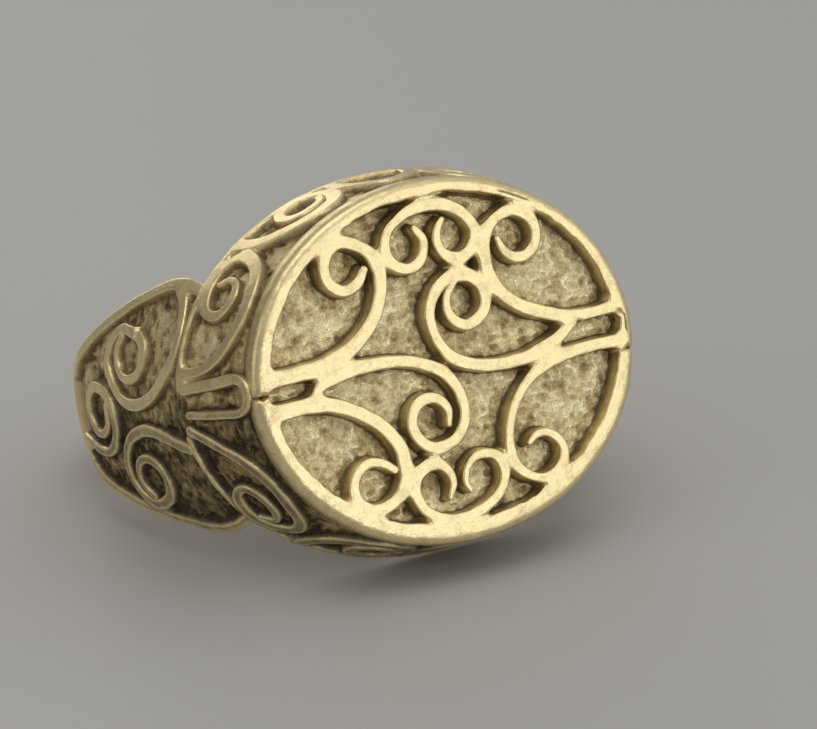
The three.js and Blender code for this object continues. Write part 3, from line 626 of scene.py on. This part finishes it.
def face_ground(relief):
    """The sheet behind the face scrolls: a disc of even quads, with its underside."""
    columns, rows = 300, 240
    u, v = np.meshgrid(np.linspace(-1, 1, columns), np.linspace(-1, 1, rows))
    across = PLATE_A * u * np.sqrt(1 - v ** 2 / 2)
    up = PLATE_B * v * np.sqrt(1 - u ** 2 / 2)
    flat = np.column_stack([across.ravel(), up.ravel()])
    lumps = stipple(place_face(*flat.T, 0 * flat[:, 0]), *FACE_STIPPLE)
    top = place_face(*flat.T, lumps)
    index = np.arange(rows * columns).reshape(rows, columns)
    border = np.concatenate([index[0], index[1:, -1], index[-1, -2::-1], index[-2:0:-1, 0]])
    below = place_face(*flat[border].T, np.full(len(border), -PLATE_THICK))
    faces = grid_faces(rows, columns)
    under = len(top) + np.arange(len(border))
    faces += np.column_stack([border, np.roll(border, -1), np.roll(under, -1), under]).tolist()
    faces.append(under.tolist())
    # patina, with painted shade at the feet of the wires
    patina_and_shade = ground_patina_and_shade(lumps, relief.near_wire(flat))
    patina_and_shade = np.concatenate([patina_and_shade, np.full(len(border), 0.5)])
    new_piece("face_plate", np.vstack([top, below]), faces, patina_and_shade, "patinated_gold")


def rim_half(node, start, end, relief, border, seed):
    """Half of the border: a rounded side, a flat land and an inner edge that the scrolls join."""
    steps = 300
    turn = np.radians(np.linspace(start, end, steps))
    outline = np.column_stack([FACE_A * np.cos(turn), FACE_B * np.sin(turn)])
    inward = unit(-np.column_stack([np.cos(turn) / FACE_A, np.sin(turn) / FACE_B]))
    along = distance_along(outline)
    from_end = np.minimum(along, along[-1] - along)
    groove = SEAM_DEEP * np.exp(-(from_end / SEAM_HALF) ** 2)
    waver = waves(along, RIM_WAVER, seed)
    width = border.width(turn)
    edge = width + waves(along, RIM_RAGGED, seed + 2)
    sections, heights = [], []
    for distance, height in RIM_SIDE:
        drop = groove if height > 0.3 else 0
        flat = outline + inward * (distance + waver * (height > 0))[:, None]
        high = height + relief.polish(flat) * np.clip((height - 0.3) / 0.5, 0, 1) - drop
        sections.append(flat)
        heights.append(high)
    loops = [width * part for part in (0.6, 0.76)] + [edge - part * EDGE_ROUND for part in INSIDE[::-1]]
    loops += [edge + distance for distance in OUTSIDE[::-1]]
    for distance in loops:
        flat = outline + inward * distance[:, None]
        high = relief.heights(flat, distance - edge, border)
        sections.append(flat)
        heights.append(high - groove * np.clip(high, 0, 1))
    for distance in (width + 0.25, 0.3 + 0 * width):
        sections.append(outline + inward * distance[:, None])
        heights.append(np.full(steps, -0.25))
    flat = np.array(sections)
    high = np.array(heights)
    points = place_face(*flat.reshape(-1, 2).T, high.ravel())
    points = points.reshape(*flat.shape[:2], 3)
    worn = relief.polish(flat.reshape(-1, 2)).reshape(high.shape)
    patina_and_shade = wall_patina_and_shade(high - worn, RIM_DEPTH) + 1.6 * groove
    patina_and_shade[:len(RIM_SIDE)] *= 0.35 + 0.5 * underside_shade_mask(points[:len(RIM_SIDE)])     # kept low on the border's side, with painted shade growing towards the underside
    loft(node, points.transpose(1, 0, 2), patina_and_shade.T, "polished_gold")


def gallery_ground(relief):
    """The flaring wall of the gallery: stippled outside, plain inside."""
    turns = 600
    around = np.linspace(0, 4 * QUARTER_TURN, turns, endpoint=False)
    # down the outside, round the back edge and up the inside: distance down, height, share of stipple
    rows = [(down, 0.0, 1.0) for down in np.linspace(0.62, RAIL_BACK - 0.1, 46)]
    rows += [(RAIL_BACK - 0.03, -0.03, 0), (RAIL_BACK, -0.12, 0), (RAIL_BACK, -GALLERY_SKIN + 0.1, 0)]
    rows += [(RAIL_BACK - 0.1, -GALLERY_SKIN, 0)]
    rows += [(down, -GALLERY_SKIN, 0.25) for down in np.linspace(RAIL_BACK - 0.4, 0.75, 9)]
    sections, patina_and_shade = [], []
    for down, height, rough in rows:
        flat = np.column_stack([around, np.full(turns, down)])
        base = place_gallery(*flat.T, np.full(turns, height))
        lumps = stipple(base, *SIDE_STIPPLE) * rough
        sections.append(place_gallery(*flat.T, height + lumps))
        shade = ground_patina_and_shade(lumps, relief.near_wire(flat)) if rough == 1 else 0.35 - 3 * lumps
        # darker ground, and painted shade towards the ring's underside
        shade = shade + GALLERY_DULL + GROUND_UNDERSIDE_SHADE * underside_shade_mask(base)
        # painted shadow: a dark band on the gallery along the border
        rim_shadow = 0.5 * np.clip((RIM_DEPTH + RIM_SHADOW_WIDTH - down) / RIM_SHADOW_WIDTH, 0, 1) if rough == 1 else 0
        patina_and_shade.append(shade + rim_shadow)
    loft("gallery_wall", np.array(sections), np.array(patina_and_shade), "patinated_gold", closed=True)


def shoulder_ground(node, relief, place):
    """A shoulder's leaf of sheet: stippled on top, smoother below, with rounded edges."""
    stations = np.linspace(0, SHOULDER_END, 140)
    # across the top, round one side, back below and round the other
    top = [(part, 0.0, 1.0) for part in np.linspace(-1, 1, 116)]
    low = -SHOULDER_SKIN
    sides = [(1.0, -0.3), (1.0, low + 0.3), (0.99, low + 0.12), (0.965, low)]
    right = [(part, height, 0) for part, height in sides]
    below = [(part, low, 0.2) for part in np.linspace(0.85, -0.85, 16)]
    left = [(-part, height, 0) for part, height in sides[::-1]]
    sections, patina_and_shade = [], []
    half = shoulder_half(stations) - 0.03
    fade = np.clip((SHOULDER_END - 0.2 - stations) / 1.2, 0, 1)     # the stipple ends at the shank
    for part, height, rough in top + right + below + left:
        flat = np.column_stack([stations, part * half])
        base = place(*flat.T, np.full(len(stations), height))
        lumps = stipple(base, *SIDE_STIPPLE) * rough * fade
        sections.append(place(*flat.T, height + lumps))
        # painted shade towards the ring's underside; the top also takes ground patina and darkening, the
        # sides half the painted shade
        shade = GROUND_UNDERSIDE_SHADE * underside_shade_mask(base)
        if rough == 1:
            shade += ground_patina_and_shade(lumps, relief.near_wire(flat)) + GROUND_DULL
        elif rough > 0:
            shade += 0.25 - 3 * lumps + GROUND_DULL
        else:
            shade = 0.12 + 0.12 * noise(base, 0.8, 43) + 0.5 * shade
        patina_and_shade.append(shade)
    sections = np.array(sections).transpose(1, 0, 2)
    loft(node, sections, np.array(patina_and_shade).T, "patinated_gold")


def shank():
    """The plain band round the finger's back, crowned outside, eased inside and sunk at its joints."""
    start = (SHOULDER_END - SHANK_OVERLAP - STRAIGHT) / HOOP_R
    turns = np.linspace(start, math.pi - start, 150)
    outer, inner = np.linspace(-1, 1, 17), np.linspace(1, -1, 13)
    up = np.concatenate([outer, inner])
    outside = np.arange(len(up)) < len(outer)
    sections, joint = [], []
    for turn in turns:
        part = (turn - start) / (math.pi - 2 * start)
        half = SHANK_HALF + (SHANK_BACK_HALF - SHANK_HALF) * math.sin(math.pi * part)
        edge = np.clip(abs(up) * half - (half - SHANK_CORNER), 0, SHANK_CORNER) / SHANK_CORNER
        rounding = SHANK_CORNER * (1 - np.sqrt(1 - edge ** 2))
        from_end = min(turn - turns[0], turns[-1] - turn) * HOOP_R
        sunk = (RELIEF + 0.02) * math.exp(-(from_end / SHANK_RISE) ** 2)
        crowned = HOOP_R - SHANK_FALL * up ** 2 - rounding - sunk
        eased = FINGER_R + SHANK_EASE * up ** 2 + 0.5 * rounding
        radius = np.where(outside, crowned, eased)
        z = up * half * np.where(outside, 1, 0.999)
        place = np.column_stack([radius, z, np.full(len(z), turn * HOOP_R)])
        radius = radius + 0.012 * noise(place, 1.9, 41)
        sections.append(np.column_stack([radius * math.cos(turn), HOOP_Y + radius * math.sin(turn), z]))
        joint.append(np.full(len(z), math.exp(-(from_end / 0.7) ** 2)))
    patina_and_shade = 0.12 + 0.1 * noise(np.array(sections).reshape(-1, 3), 1.5, 42) + 0.45 * np.concatenate(joint)
    loft("shank_band", np.array(sections), patina_and_shade, "worn_gold")


# ------------ materials
class Shading:
    """Short names for the nodes of one material."""

    def __init__(self, name):
        self.material = bpy.data.materials.new(name)
        self.material.use_nodes = True
        self.nodes, self.links = self.material.node_tree.nodes, self.material.node_tree.links
        self.shader = self.nodes["Principled BSDF"]
        self.place = self.node("ShaderNodeTexCoord").outputs["Object"]

    def node(self, kind, **settings):
        node = self.nodes.new(kind)
        for name, value in settings.items():
            setattr(node, name, value)
        return node

    def join(self, source, target):
        self.links.new(source, target)

    def math(self, operation, first, second):
        node = self.node("ShaderNodeMath", operation=operation)
        for socket, value in zip(node.inputs, (first, second)):
            if isinstance(value, (int, float)):
                socket.default_value = value
            else:
                self.join(value, socket)
        return node.outputs[0]

    def grain(self, size, detail, stretch=(1, 1, 1), turn=(0, 0, 0)):
        """Noise from 0 to 1 with lumps of a size in millimetres."""
        mapping = self.node("ShaderNodeMapping")
        mapping.inputs["Scale"].default_value = stretch
        mapping.inputs["Rotation"].default_value = turn
        self.join(self.place, mapping.inputs["Vector"])
        texture = self.node("ShaderNodeTexNoise")
        texture.inputs["Scale"].default_value = 1 / (size * MM)
        texture.inputs["Detail"].default_value = detail
        self.join(mapping.outputs[0], texture.inputs["Vector"])
        return texture.outputs["Fac"]

    def ramp(self, value, stops):
        node = self.node("ShaderNodeValToRGB")
        elements = node.color_ramp.elements
        while len(elements) < len(stops):
            elements.new(0.5)
        for element, (position, color) in zip(elements, stops):
            element.position = position
            element.color = (*color, 1) if isinstance(color, tuple) else (color, color, color, 1)
        self.join(value, node.inputs["Fac"])
        return node.outputs["Color"]

    def bump(self, layers):
        """Stacks bumps: each layer is a height from 0 to 1 and its depth in millimetres."""
        normal = None
        for height, depth in layers:
            node = self.node("ShaderNodeBump")
            node.inputs["Distance"].default_value = depth * MM
            self.join(height, node.inputs["Height"])
            if normal:
                self.join(normal, node.inputs["Normal"])
            normal = node.outputs["Normal"]
        self.join(normal, self.shader.inputs["Normal"])


PATINA_AND_SHADE_STOPS = (0.0, 0.3, 0.6, 1.0)  # patina and painted shade at which the values of a material hold
COARSE, FINE, GRAIN, SCRATCH = 0.55, 0.11, 0.09, 0.3    # sizes (mm) of mottling, grain and scratches


def gold(name, colors, roughness, metallic, grain_depth, scratch_depth, mottle):
    """Gold from clean to thickly patinated and shaded, by the patina and painted shade on the mesh and by
    fine mottling.
    """
    shade = Shading(name)
    mixed = shade.node("ShaderNodeAttribute", attribute_name="patina_and_shade").outputs["Fac"]
    for size, strength in ((COARSE, mottle), (FINE, 0.8 * mottle)):
        lumps = shade.math("SUBTRACT", shade.grain(size, 3), 0.5)
        mixed = shade.math("ADD", mixed, shade.math("MULTIPLY", lumps, strength))
    for socket, values in (("Base Color", colors), ("Roughness", roughness), ("Metallic", metallic)):
        ramp = shade.ramp(mixed, list(zip(PATINA_AND_SHADE_STOPS, values)))
        shade.join(ramp, shade.shader.inputs[socket])
    scratches = shade.grain(SCRATCH, 2, stretch=(1, 6, 0.4), turn=(0.3, 0.2, 0.8))
    shade.bump([(shade.grain(GRAIN, 3), grain_depth), (scratches, scratch_depth)])
    return shade.material


MATERIALS = {
    "polished_gold": gold(
        "polished gold",
        [(0.94, 0.79, 0.44), (0.66, 0.53, 0.28), (0.28, 0.22, 0.13), (0.06, 0.045, 0.025)],
        roughness=[0.28, 0.36, 0.5, 0.65], metallic=[1, 0.9, 0.45, 0.3],
        grain_depth=0.014, scratch_depth=0.012, mottle=0.65),
    "patinated_gold": gold(
        "patinated gold",
        [(1.0, 0.90, 0.57), (0.78, 0.64, 0.34), (0.40, 0.29, 0.13), (0.06, 0.04, 0.017)],
        roughness=[0.26, 0.36, 0.46, 0.6], metallic=[0.8, 0.55, 0.7, 0.6],
        grain_depth=0.045, scratch_depth=0.003, mottle=0.8),
    "worn_gold": gold(
        "worn gold",
        [(0.92, 0.76, 0.42), (0.80, 0.62, 0.32), (0.45, 0.33, 0.16), (0.12, 0.08, 0.04)],
        roughness=[0.24, 0.3, 0.42, 0.6], metallic=[1, 1, 0.9, 0.7],
        grain_depth=0.003, scratch_depth=0.006, mottle=0.25),
}


# ------------ assembly
def moved(route, flip, shift=(0, 0)):
    """A route turned over, moved along, or both."""
    return [(x * flip[0] + shift[0], y * flip[1] + shift[1], *width) for x, y, *width in route]


def doubled(route, middle):
    """A route followed by its own mirror image about a line across it."""
    there = full_widths(route)
    return there + [(2 * middle - x, y, width) for x, y, width in there[-2::-1]]


def build_face():
    border = Border()
    wires = [Wire(node, route, RIM_DEPTH, 100 + 20 * i)
             for i, (node, route) in enumerate(FACE_ROUTES.items())]
    relief = Relief([border, *wires], place_face, dents=FACE_DENTS, tilt=FACE_TILT)
    for rank, wire in enumerate(wires):
        relief.build(wire, rank + 1)
    rim_half("rim_upper", RIM_SEAMS[0], RIM_SEAMS[1], relief, border, 300)
    rim_half("rim_lower", RIM_SEAMS[1], RIM_SEAMS[0] + 360, relief, border, 310)
    face_ground(relief)


def build_gallery():
    left = {
        "gallery_wave_upper_left": GALLERY_WAVE_UPPER,
        "gallery_wave_lower_left": moved(GALLERY_WAVE_LOWER, (-1, 1)),
        "gallery_curl_upper_left": GALLERY_CURL,
        "gallery_curl_lower_left": moved(GALLERY_CURL, (-1, 1)),
        "gallery_loop_left": GALLERY_LOOP,
    }
    routes = dict(left)
    for node, route in left.items():
        routes[node.replace("left", "right")] = moved(route, (-1, 1), (2 * QUARTER_TURN, 0))
    arch = doubled(GALLERY_ARCH, QUARTER_TURN)
    routes["gallery_arch_top"] = arch
    routes["gallery_arch_bottom"] = moved(arch, (-1, 1))
    wires = [Wire(node, route, RELIEF, 400 + 20 * i) for i, (node, route) in enumerate(routes.items())]
    for node, flip in (("gallery_rail_top", 1), ("gallery_rail_bottom", -1)):
        ends = sorted(flip * end for end in (RAIL_SHORT, 2 * QUARTER_TURN - RAIL_SHORT))
        route = [(across, RAIL_MIDDLE, RAIL_WIDE) for across in np.linspace(*ends, 13)]
        wires.append(Wire(node, route, RELIEF, 700 + 20 * flip, cliff=1))
    # its wires take painted shade towards the ring's underside
    relief = Relief(wires, place_gallery, period=4 * QUARTER_TURN, tarnish=0.55)
    for rank, wire in enumerate(wires):
        relief.build(wire, rank + 1)
    gallery_ground(relief)


def build_shoulder(side, place, seed):
    edge = [(along, half - EDGE_WIDE / 2, EDGE_WIDE) for along, half in SHOULDER_EDGE]
    routes = {"comma_upper": SHOULDER_COMMA_UPPER, "comma_lower": SHOULDER_COMMA_LOWER,
              "spiral": SHOULDER_SPIRAL}
    wires = [Wire(f"shoulder_{name}_{side}", route, RELIEF, seed + 20 * i)
             for i, (name, route) in enumerate(routes.items())]
    for name, flip in (("edge_upper", 1), ("edge_lower", -1)):
        route = moved(edge, (1, flip))
        wires.append(Wire(f"shoulder_{name}_{side}", route, RELIEF, seed + 200 + flip, cliff=flip))
    # its wires take painted shade towards the ring's underside
    relief = Relief(wires, place, dents=SHOULDER_DENTS, tarnish=0.5)
    for rank, wire in enumerate(wires):
        relief.build(wire, rank + 1)
    shoulder_ground(f"shoulder_sheet_{side}", relief, place)


build_face()
build_gallery()
build_shoulder("left", place_left_shoulder, 1000)
build_shoulder("right", place_shoulder, 1400)
shank()


# ------------ floor, light and camera
def stage_floor():
    mesh = bpy.data.meshes.new("floor")
    mesh.from_pydata([(-3, -3, 0), (3, -3, 0), (3, 3, 0), (-3, 3, 0)], [], [(0, 1, 2, 3)])
    floor = add_object("floor", mesh)
    shade = Shading("floor")
    shade.shader.inputs["Base Color"].default_value = (0.55, 0.545, 0.535, 1)
    shade.shader.inputs["Roughness"].default_value = 0.6
    mesh.materials.append(shade.material)
    floor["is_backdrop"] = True


AIM_UP = 0.01                       # height (m) that the lights aim at
SOFTBOXES = {   # azimuth and elevation (degrees), distance and size (m), radiance and colour
    "key": (34, 20, 0.42, 0.24, 0.8, (1.0, 0.97, 0.92)),
    "low": (12, 3, 0.42, 0.11, 2.4, (0.88, 0.94, 1.0)),
    "top": (-10, 68, 0.45, 0.3, 1.0, (1.0, 0.98, 0.95)),
    "left": (-85, 22, 0.45, 0.3, 0.48, (1.0, 0.95, 0.86)),
    "behind": (176, 12, 0.5, 0.3, 1.1, (1.0, 0.95, 0.86)),
}


def softbox(name, azimuth, elevation, distance, size, radiance, color):
    """A square light aimed at the ring. Azimuth 0 is in front of the face, positive to its right."""
    az, el = math.radians(azimuth), math.radians(elevation)
    away = Vector((math.sin(az) * math.cos(el), -math.cos(az) * math.cos(el), math.sin(el)))
    light = bpy.data.lights.new(name, "AREA")
    light.size = size
    light.energy = radiance * math.pi * size ** 2
    light.color = color
    lamp = add_object(name, light)
    lamp.location = away * distance + Vector((0, 0, AIM_UP))
    lamp.rotation_euler = away.to_track_quat("Z", "Y").to_euler()


def room_light():
    """Soft room light, brighter above and in front on the right than behind on the left."""
    world = bpy.data.worlds.new("room")
    bpy.context.scene.world = world
    bpy.context.scene.view_settings.view_transform = "Standard"
    world.use_nodes = True
    nodes, links = world.node_tree.nodes, world.node_tree.links
    background = nodes["Background"]
    direction = nodes.new("ShaderNodeTexCoord").outputs["Generated"]
    lean = nodes.new("ShaderNodeVectorMath")
    lean.operation = "DOT_PRODUCT"
    lean.inputs[1].default_value = (0.6, -0.2, 0.75)
    links.new(direction, lean.inputs[0])
    ramp = nodes.new("ShaderNodeMapRange")
    for socket, value in (("From Min", -0.8), ("From Max", 0.9), ("To Min", 0.06), ("To Max", 0.55)):
        ramp.inputs[socket].default_value = value
    links.new(lean.outputs["Value"], ramp.inputs["Value"])
    background.inputs["Color"].default_value = (1.0, 0.98, 0.95, 1)
    links.new(ramp.outputs["Result"], background.inputs["Strength"])


CAMERA_SIDE, CAMERA_RISE, CAMERA_ROLL = 23.957, 4.3, 11.628     # degrees, from the face's own axes
CAMERA_AWAY = 219.2                 # mm from the middle of the face
CAMERA_AIM = (-1.7254, -0.1909)     # mm, to the right and up, from the middle of the face
LENS = 220.34


def add_camera():
    side, rise, roll = map(math.radians, (CAMERA_SIDE, CAMERA_RISE, CAMERA_ROLL))
    back = np.array([-math.sin(side) * math.cos(rise), -math.cos(side) * math.cos(rise), math.sin(rise)])
    level = np.array([math.cos(side), -math.sin(side), 0])
    upright = np.cross(back, level)
    right = math.cos(roll) * level - math.sin(roll) * upright
    up = math.sin(roll) * level + math.cos(roll) * upright
    place = back * CAMERA_AWAY + right * CAMERA_AIM[0] + up * CAMERA_AIM[1]
    axes = RING_TURN @ np.column_stack([right, up, back])
    matrix = Matrix(axes.tolist()).to_4x4()
    matrix.translation = Vector(laid_down(place[None])[0])
    data = bpy.data.cameras.new("camera")
    data.lens = LENS
    data.sensor_width = 36
    data.clip_start = 0.01
    camera = add_object("camera", data)
    camera.matrix_world = matrix
    bpy.context.scene.camera = camera


stage_floor()
room_light()
for name, facts in SOFTBOXES.items():
    softbox(name, *facts)
add_camera()

SHOWN_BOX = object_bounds()
({name: [list(corner) for corner in box]
           for name, box in (("cad", CAD_BOX), ("visual", SHOWN_BOX))})
